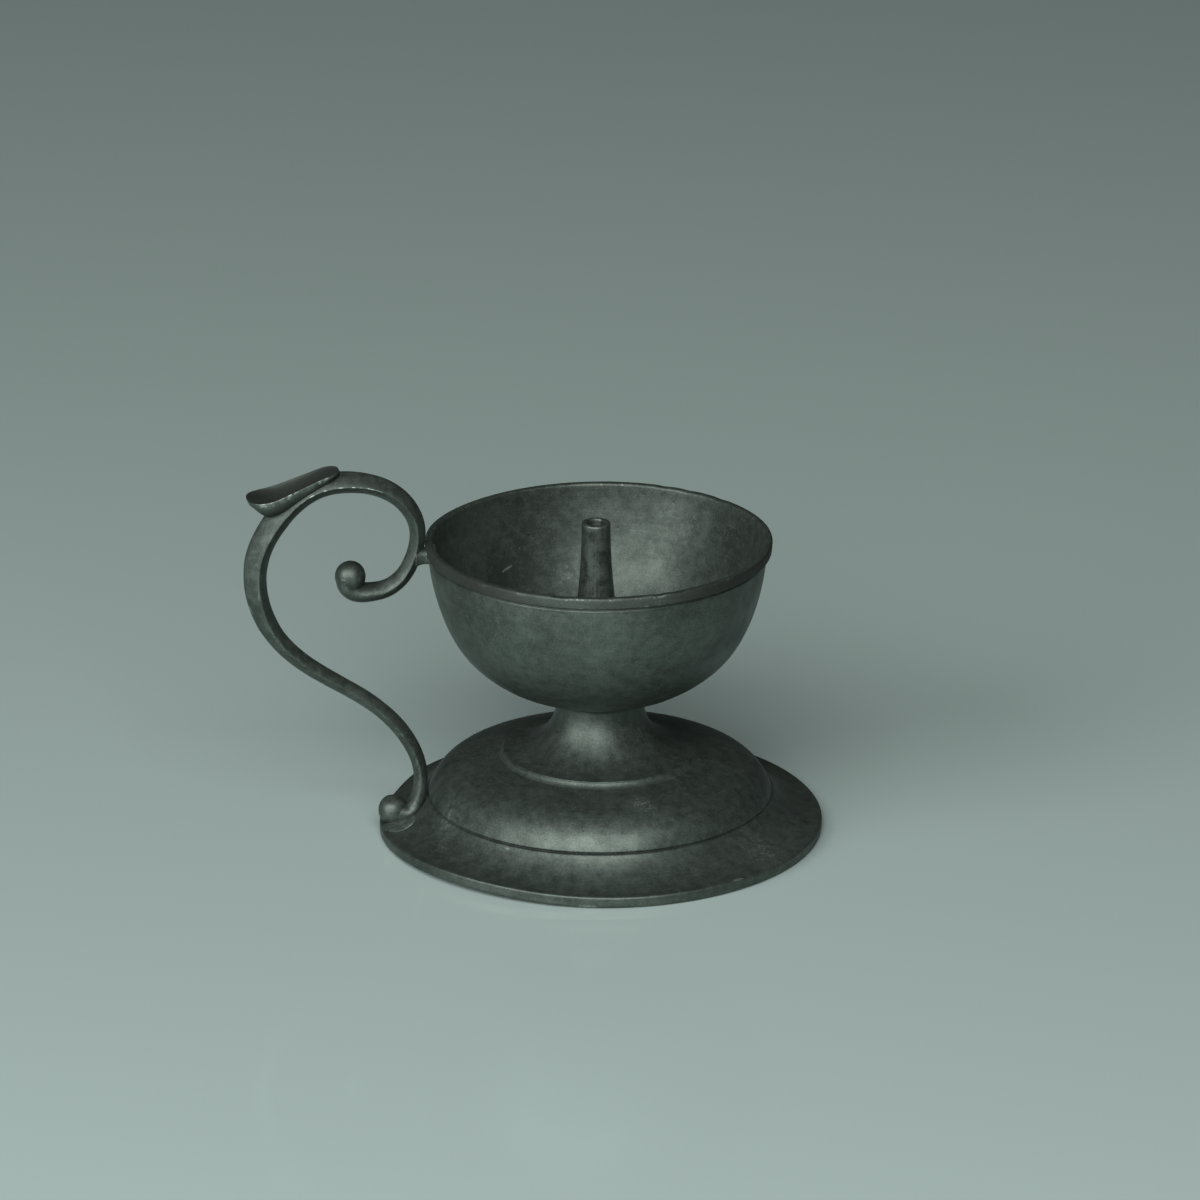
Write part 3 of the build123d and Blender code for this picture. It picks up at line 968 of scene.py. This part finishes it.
def set_by_hand(radius, height, angle):
    """The tube stands a little towards the handle, low waves bend it, and one thin line is cut round it."""
    cut = cut_depth * np.exp(-(((height - cut_height) / cut_width) ** 2)) * (radius > 1.2 * bore_radius)
    bent = radius * (1 + post_wave * waves(angle, 61)) - post_shift * np.cos(angle) * (height > cup_floor)
    return bent - cut, height


post_pewter = pewter("post_pewter", tone=1.3, lines=0.2, mottle=2.2, streaks=0.9, rough=0.46)
post = lathe(
    "taper_post", post_outline, POST_SEGMENTS, set_by_hand, rubbed=0.15, soiled=0.8, seed=62, closed=False
)
place(post, "post", "pewter", post_pewter)

# %% [markdown]
# ## Handle
# The handle is one cast bar bent to an S, thick over the loop and thin at the foot, with a ball at each
# end. Its centreline is a smooth cubic curve through listed points. A pointed oval with a soft
# ridge at the front and the back is carried along it. Near the ends the oval turns round and deepens, so
# that the bar flows into its balls as cast metal does.

# %% Centreline of the handle
loop_reach = 38.2 * MM
loop_rise = 16.15 * MM
bar_thickness = 5.6 * MM
bar_depth = 7.6 * MM
near_share = 0.68
scroll_near = rim_radius + 0.35 * MM + bar_thickness * near_share / 2
curl_width = 5.3 * MM
curl_height = 13.8 * MM
curl_bed = 0.4 * MM
curl_seat = flange[int(0.34 * ARC_POINTS)]
# Upper scroll: (share of the reach out from the rim, share of the rise above it, share of the bar)
scroll_shares = np.array(
    [
        (0.454, -0.440, 0.76),
        (0.441, -0.570, 0.79),
        (0.407, -0.655, 0.80),
        (0.302, -0.690, 0.81),
        (0.200, -0.645, 0.77),
        (0.107, -0.487, 0.72),
        (0.030, -0.158, 0.67),
        (0.008, 0.306, near_share),
        (0.142, 0.793, 0.82),
        (0.390, 1.000, 0.93),
        (0.640, 0.926, 1.05),
        (0.862, 0.468, 1.08),
        (0.990, -0.158, 1.00),
        (0.985, -0.752, 0.92),
        (0.865, -1.377, 0.80),
        (0.644, -1.864, 0.72),
    ]
)
# Sway down to the curl: (share of the way across, share of the way down, share of the bar)
sway_shares = np.array([(0.50, 0.32, 0.68), (0.83, 0.64, 0.65)])
# Curl: (share of its width in from the seat, share of its height, share of the bar)
curl_shares = np.array(
    [
        (1.00, 1.000, 0.60),
        (0.96, 0.475, 0.60),
        (0.50, 0.180, 0.74),
        (-0.02, 0.175, 0.94),
    ]
)
# Balls at the two ends, given in the same shares as the scroll and the curl
scroll_ball_shares = np.array((0.417, -0.440))
curl_ball_shares = np.array((-0.19, 0.200))

scroll = scroll_shares * (-loop_reach, loop_rise, 1) + (-scroll_near, rim_top, 0)
curl = curl_shares * (curl_width, curl_height, 1) + (-curl_seat[0], curl_seat[1] - curl_bed, 0)
sway = sway_shares.copy()
sway[:, :2] = scroll[-1, :2] + (curl[0, :2] - scroll[-1, :2]) * sway_shares[:, :2]
bar_table = np.vstack([scroll, sway, curl])


def cubic(knots, values, at):
    """Natural cubic spline: the second derivatives at the knots come from one set of linear equations,
    with none at the ends, and each span is the cubic that matches them."""
    gap = np.diff(knots)
    slope = np.diff(values, axis=0) / gap[:, None]
    count = len(knots)
    system = np.eye(count)
    inner = np.arange(1, count - 1)
    system[inner, inner - 1] = gap[:-1]
    system[inner, inner] = 2 * (gap[:-1] + gap[1:])
    system[inner, inner + 1] = gap[1:]
    load = np.zeros_like(values)
    load[1:-1] = 6 * np.diff(slope, axis=0)
    second = np.linalg.solve(system, load)
    span = np.clip(np.searchsorted(knots, at) - 1, 0, count - 2)
    width = gap[span][:, None]
    after = ((at - knots[span]) / gap[span])[:, None]
    before = 1 - after
    straight = before * values[span] + after * values[span + 1]
    curved = (before**3 - before) * second[span] + (after**3 - after) * second[span + 1]
    return straight + curved * width**2 / 6


knots = length_so_far(bar_table[:, :2])
print("handle about", round(knots[-1] / MM), "mm along its bar")

# %% Bar of the handle
PATH_POINTS = 4000
BAR_ROWS = 420
CAP_ROWS = BAR_ROWS // 20
BAR_SIDES = 64
RIDGE_POWER = 0.7
FLANK_POWER = 0.35
end_cap = 1.4 * MM
round_end = 14 * MM
# How far the ridge lies towards the inside of the loop, as a share of the half thickness, at some stations
ridge_stations = np.array([0, 8, 11, 13, 15, 17])
ridge_shares = np.array((0.0, 0.0, 0.15, 0.30, 0.10, 0.0))
# The bar deepens into its balls: (way from the start, or to the end, share more depth)
start_depth = np.array([(0 * MM, 0.15), (4 * MM, 0.06), (10 * MM, 0.0)])
end_depth = np.array([(0 * MM, -0.06), (3 * MM, 0.17), (8 * MM, 0.09), (14 * MM, 0.0)])
path = cubic(knots, bar_table, np.linspace(0, knots[-1], PATH_POINTS))
path_run = length_so_far(path[:, :2])
total = path_run[-1]
# Rows follow a cosine at the ends, so that the bar closes smoothly inside its balls
lead = np.linspace(0, np.pi / 2, CAP_ROWS)[1:-1]
middle_run = np.linspace(0, total, BAR_ROWS - 2 * CAP_ROWS)
run = np.concatenate([-end_cap * np.cos(lead), middle_run, total + end_cap * np.sin(lead)])
inside = np.clip(run, 0, total)


def at_rows(values):
    """Values along the fine path, read off at the rows of the bar."""
    return np.stack([np.interp(inside, path_run, column) for column in values.T], axis=1)


def signed_power(values, power):
    """A power of the size of each value, with its sign kept."""
    return np.sign(values) * np.abs(values) ** power


across = at_rows(path[:, :2])
tangent = at_rows(np.gradient(path[:, :2], axis=0))
tangent /= np.linalg.norm(tangent, axis=1, keepdims=True)
across += tangent * (run - inside)[:, None]
square = np.stack([-tangent[:, 1], tangent[:, 0]], axis=1)
cap = np.sqrt(np.clip(1 - ((run - inside) / end_cap) ** 2, 0, 1))
bar = at_rows(path[:, 2:]) * cap[:, None]
around = np.linspace(0, 2 * np.pi, BAR_SIDES, endpoint=False)[None, :]
to_end = np.minimum(inside, total - inside)
ridged = np.clip((to_end - round_end / 3) / round_end, 0, 1)[:, None]
ridge_y = signed_power(np.sin(around), 1 + RIDGE_POWER * ridged)
flank_y = signed_power(np.cos(around), 1 + FLANK_POWER * ridged)
hand_worn = 1 + 0.018 * waves(run[:, None] / (9 * MM), 66)
hand_worn = hand_worn + 0.012 * waves(around + run[:, None] / (5 * MM), 67)
deeper = 1 + np.interp(inside, *start_depth.T) + np.interp(total - inside, *end_depth.T)
sideways = bar_depth / 2 * bar * deeper[:, None] * flank_y * hand_worn
inward = np.interp(inside, knots[ridge_stations], ridge_shares)[:, None]
upright = bar_thickness / 2 * bar * (ridge_y + inward * (1 - np.abs(ridge_y))) * hand_worn
grid = np.stack(
    [
        across[:, :1] + square[:, :1] * upright,
        sideways,
        across[:, 1:] + square[:, 1:] * upright,
    ],
    axis=-1,
)
print("bar rows", len(run), "sides", BAR_SIDES)

# %% Balls at its ends
BALL_ROWS = 48
BALL_SIDES = 72
blank = np.zeros((1, 1))
plain_marks = np.zeros((1, 1, 3))


def round_lump(uneven, seed):
    """A ball of radius 1: (sin b cos l, sin b sin l, -cos b) for the bow b from below to above and the lap
    l round, swollen by low waves round the lap."""
    bow = np.linspace(0, np.pi, BALL_ROWS)[1:-1, None]
    lap = np.linspace(0, 2 * np.pi, BALL_SIDES, endpoint=False)[None, :]
    swell = 1 + uneven * waves(lap, seed) * np.sin(bow)
    parts = np.sin(bow) * np.cos(lap) * swell, np.sin(bow) * np.sin(lap) * swell, -np.cos(bow) * swell
    return np.stack(np.broadcast_arrays(*parts), axis=-1)


def ball_end(name, centre, sizes, seed, grime_and_shade):
    """A ball with three half sizes about a centre in the handle's plane, darker underneath by a share:
    painted shade.
    """
    ball = round_lump(0.03, seed)
    grid = np.array((centre[0], 0, centre[1])) + np.array(sizes) * MM * ball
    return skin(name, grid, blank + 0.2, grime_and_shade * np.clip(-ball[..., 2], 0, 1), plain_marks, ring=False)


scroll_place = scroll_ball_shares * (-loop_reach, loop_rise) + (-scroll_near, rim_top)
curl_place = curl_ball_shares * (curl_width, curl_height) + (-curl_seat[0], curl_seat[1] - curl_bed)
# The last number is the painted shade under each ball: none under the scroll's, and much under the curl's.
scroll_end = ball_end("scroll_ball", scroll_place, (3.6, 3.6, 3.7), 71, 0.0)
curl_end = ball_end("curl_ball", curl_place, (3.5, 3.6, 3.6), 72, 0.9)
place(scroll_end, "handle", "handle_pewter", cast_pewter)
place(curl_end, "handle", "handle_pewter", cast_pewter)

# %% [markdown]
# ## Thumb rest
# A small spoon is bedded in the back of the loop, tilted up towards the rim, and the thumb presses down in
# it. Seen from above it is a leaf: two circles and the lines that touch both. Its dish and its belly are
# each deepest near the outer end, and that end turns up a little.

# %% Thumb rest
thumb_length = 22.4 * MM
thumb_wide = 5.5 * MM
thumb_narrow = 4.0 * MM
dish_depth = 2.3 * MM
belly_depth = 5.3 * MM
thumb_edge = 0.85 * MM
thumb_lift = 4.2 * MM
end_lift = 1.5 * MM
tip_drop = 0.6 * MM
END_SQUARENESS = 2.6
DISH_POWER = 1.5
CLOSING_POWER = 0.35
# Dish and belly: (share of the length where it is deepest, share of the depth left at the tip)
dish_run = (0.36, 0.30)
belly_run = (0.14, 0.20)
lifted_until = 0.35
dropped_from = 0.75
thumb_tilt = math.radians(22)
THUMB_ROWS = 120
THUMB_SIDES = 80
thumb_run = (knots[10] + knots[11]) / 2
thumb_seat = cubic(knots, bar_table, np.array([thumb_run]))[0]


def circle_half(distance, radius, power=2.0):
    """Half width of a circle at a distance from its middle, or with a higher power of a squarer one."""
    return np.clip(radius**power - np.abs(distance) ** power, 0, None) ** (1 / power)


def leaf_half(along):
    """Half width of the leaf at a distance from its middle: the wide circle, the narrow circle, or the
    straight side that touches both, whichever is there."""
    wide_x, narrow_x = thumb_wide - thumb_length / 2, thumb_length / 2 - thumb_narrow
    lean = math.asin((thumb_wide - thumb_narrow) / (narrow_x - wide_x))
    side = thumb_wide / math.cos(lean) - (along - wide_x) * math.tan(lean)
    first, last = wide_x + thumb_wide * math.sin(lean), narrow_x + thumb_narrow * math.sin(lean)
    result = np.where(along < first, circle_half(along - wide_x, thumb_wide, END_SQUARENESS), side)
    return np.where(along > last, circle_half(along - narrow_x, thumb_narrow), result)


def hollow(share, deepest, end):
    """Depth along the spoon: nothing at the outer end, 1 at its deepest share, and an end value at the tip,
    joined by two sine arches."""
    rise = np.sin(np.pi / 2 * np.clip(share / deepest, 0, 1))
    fall = end + (1 - end) * np.cos(np.pi / 2 * np.clip((share - deepest) / (1 - deepest), 0, 1))
    return np.where(share < deepest, rise, fall)


def spoon_heights(share, crosswise):
    """Heights of the dish and of the belly over the spoon's plane, at a share along and a share across."""
    flat = np.sqrt(np.clip(1 - crosswise**2, 0, 1))
    half_width = leaf_half((share - 0.5) * thumb_length)
    closing = (half_width / thumb_wide) ** CLOSING_POWER
    dish = -dish_depth * hollow(share, *dish_run) * flat**DISH_POWER * closing
    belly = -thumb_edge - (belly_depth - thumb_edge) * hollow(share, *belly_run) * flat * closing
    lifted = end_lift * np.clip(1 - share / lifted_until, 0, 1) ** 2
    dropped = tip_drop * np.clip((share - dropped_from) / (1 - dropped_from), 0, 1) ** 2
    return dish + (lifted - dropped), belly + (lifted - dropped)


tilt_x, tilt_z = math.cos(thumb_tilt), math.sin(thumb_tilt)
spoon_x, spoon_z = thumb_seat[0], thumb_seat[1] + thumb_lift
print("thumb rest tilted", round(math.degrees(thumb_tilt)), "degrees")

# %% [markdown]
# The bar ends inside the spoon, between dish and belly, so that nothing shows through the dish. Points of
# the bar that would stand higher are pressed down to the middle between the two.

# %% Bar under the thumb rest
bar_along = (grid[..., 0] - spoon_x) * tilt_x + (grid[..., 2] - spoon_z) * tilt_z
bar_over = (grid[..., 2] - spoon_z) * tilt_x - (grid[..., 0] - spoon_x) * tilt_z
bar_share = np.clip(bar_along / thumb_length + 0.5, 0.001, 0.999)
bar_cross = grid[..., 1] / leaf_half((bar_share - 0.5) * thumb_length)
dish_over, belly_over = spoon_heights(bar_share, bar_cross)
bedded = (np.abs(bar_along) < 0.49 * thumb_length) & (np.abs(bar_cross) < 0.98)
too_high = np.where(bedded, np.clip(bar_over - (dish_over + belly_over) / 2, 0, None), 0)
grid = grid + too_high[..., None] * np.array((tilt_z, 0, -tilt_x))
print("bar pressed down by at most", round(too_high.max() / MM, 1), "mm")


# %% Bar, as a skin
def on_foot(distance):
    """Height of the foot's top at a distance from the axis, read off its outline."""
    profile = np.concatenate([flange, dome, crown])[::-1]
    return np.interp(np.abs(distance), profile[:, 0], profile[:, 1])


sway_stations = [12, 14, 18, 20]
# Painted shade on the top of the loop fades in past the spoon; painted shadow reaches this high above the
# foot.
shade_start = -70 * MM
shade_fade = 8 * MM
contact_shade_height = 1.2 * MM
ridge = np.exp(-((np.sin(around) / 0.22) ** 2))
on_top = np.clip((grid[..., 2] - rim_top) / loop_rise, 0, 1)
handle_wear_and_sheen = ridge * np.clip(0.2 + 0.8 * on_top**2 + 0.6 * waves(run[:, None] / (6 * MM), 68, 2, 30), 0, 1)
# The outer flank of the lower loop and the sway is painted lighter with the wear mix: painted sheen where
# that side faces the light.
on_sway = np.interp(run, knots[sway_stations], (0, 1, 1, 0.4))[:, None]
outer_flank = np.exp(-(((np.sin(around) + 0.32) / 0.34) ** 2))
handle_wear_and_sheen = np.maximum(handle_wear_and_sheen, 0.52 * on_sway * outer_flank)
# Painted shadow on the bar where it comes close to the foot, at the curl, and painted shade on the upper
# face of the loop past the spoon.
handle_painted_shade = np.clip(1 - (grid[..., 2] - on_foot(grid[..., 0])) / contact_shade_height, 0, 1)
past_spoon = np.clip((grid[..., 0] - shade_start) / shade_fade, 0, 1)
top_painted_shade = 0.5 * on_top * past_spoon * np.clip(-2 * np.sin(around), 0, 1)
handle_painted_shade = np.maximum(handle_painted_shade, top_painted_shade)
handle_marks = np.stack(
    np.broadcast_arrays(3 * np.cos(around), 3 * np.sin(around), run[:, None] / (12 * MM)), axis=-1
)
handle = skin("scroll_handle", grid, handle_wear_and_sheen, handle_painted_shade, handle_marks, ring=False)
place(handle, "handle", "handle_pewter", cast_pewter)

# %% Thumb rest, as a skin
share = ((1 - np.cos(np.linspace(0, np.pi, THUMB_ROWS)[1:-1])) / 2)[:, None]
along = (share - 0.5) * thumb_length
half_width = leaf_half(along)
around = np.linspace(0, 2 * np.pi, THUMB_SIDES, endpoint=False)[None, :]
crosswise = np.cos(around)
rim_round = np.clip(np.abs(np.sin(around)) / 0.22, 0, 1)
height = np.where(np.sin(around) >= 0, *spoon_heights(share, crosswise))
height = height - 0.5 * thumb_edge * (1 - rim_round)
spoon = np.stack(
    [
        spoon_x + along * tilt_x - height * tilt_z,
        half_width * crosswise,
        spoon_z + along * tilt_z + height * tilt_x,
    ],
    axis=-1,
)
local = np.clip(0.85 + 0.6 * waves(share * 6, 73, 2, 30), 0.5, 1)
rim_reach = np.where(np.sin(around) > 0, 0.25, 0.10)
spoon_wear = np.clip(1.2 - np.abs(np.sin(around)) / rim_reach, 0, 1) * local
# The dish is darker, more towards its back, and the belly darker still; only the rim is left out.
spoon_darkening = np.where(np.sin(around) > 0, 0.8 + 0.35 * crosswise, 1.05) * np.abs(np.sin(around)) ** 0.5
spoon_marks = np.broadcast_arrays(3 * crosswise, 3 * np.sin(around), -along / (12 * MM))
thumb = skin("thumb_spoon", spoon, spoon_wear, spoon_darkening, np.stack(spoon_marks, axis=-1), ring=False)
place(thumb, "thumb_rest", "handle_pewter", cast_pewter)

# %% [markdown]
# ## The last two joints
# A nub of solder holds the scroll to the band of the cup, and a puddle of solder holds the curl to the
# flange. Both are small lumps: a barrel that spreads at its two ends, and a flattened ball that follows
# the slope of the flange.

# %% Nub at the rim
nub_low, nub_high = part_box("rim_lug")
nub_radius = (nub_high.z - nub_low.z) / 2
nub_centre = (nub_low.z + nub_high.z) / 2
nub_sides = np.linspace(0, 2 * np.pi, 48, endpoint=False)[None, :]
nub_share = np.linspace(0, 1, 24)[:, None]
nub_reach = 0.9 * MM
nub_x = nub_high.x + nub_reach + (nub_low.x - nub_high.x - 2 * nub_reach) * nub_share
nub_width = nub_radius * (1.25 + 1.6 * (nub_share - 0.5) ** 2) * (1 + 0.06 * waves(nub_sides, 74))
nub_grid = np.stack(
    np.broadcast_arrays(nub_x, -nub_width * np.cos(nub_sides), nub_centre + nub_width * np.sin(nub_sides)),
    axis=-1,
)
nub = skin("rim_nub", nub_grid, blank + 0.4, blank, plain_marks, ring=False)
place(nub, "rim_lug", "solder", pale_solder)

# %% Puddle under the curl
puddle_place = np.array((-48.2, -3.8)) * MM
puddle_sizes = np.array((4.4, 3.9)) * MM
puddle_height = 0.85 * MM
puddle_ball = round_lump(0.22, 81)
puddle_xy = puddle_place + puddle_sizes * puddle_ball[..., :2]
puddle_z = on_foot(np.linalg.norm(puddle_xy, axis=-1)) + puddle_height * puddle_ball[..., 2]
puddle_grid = np.concatenate([puddle_xy, puddle_z[..., None]], axis=-1)
puddle = skin("curl_puddle", puddle_grid, blank + 0.55, blank, plain_marks, ring=False)
place(puddle, "curl_solder", "solder", pale_solder)
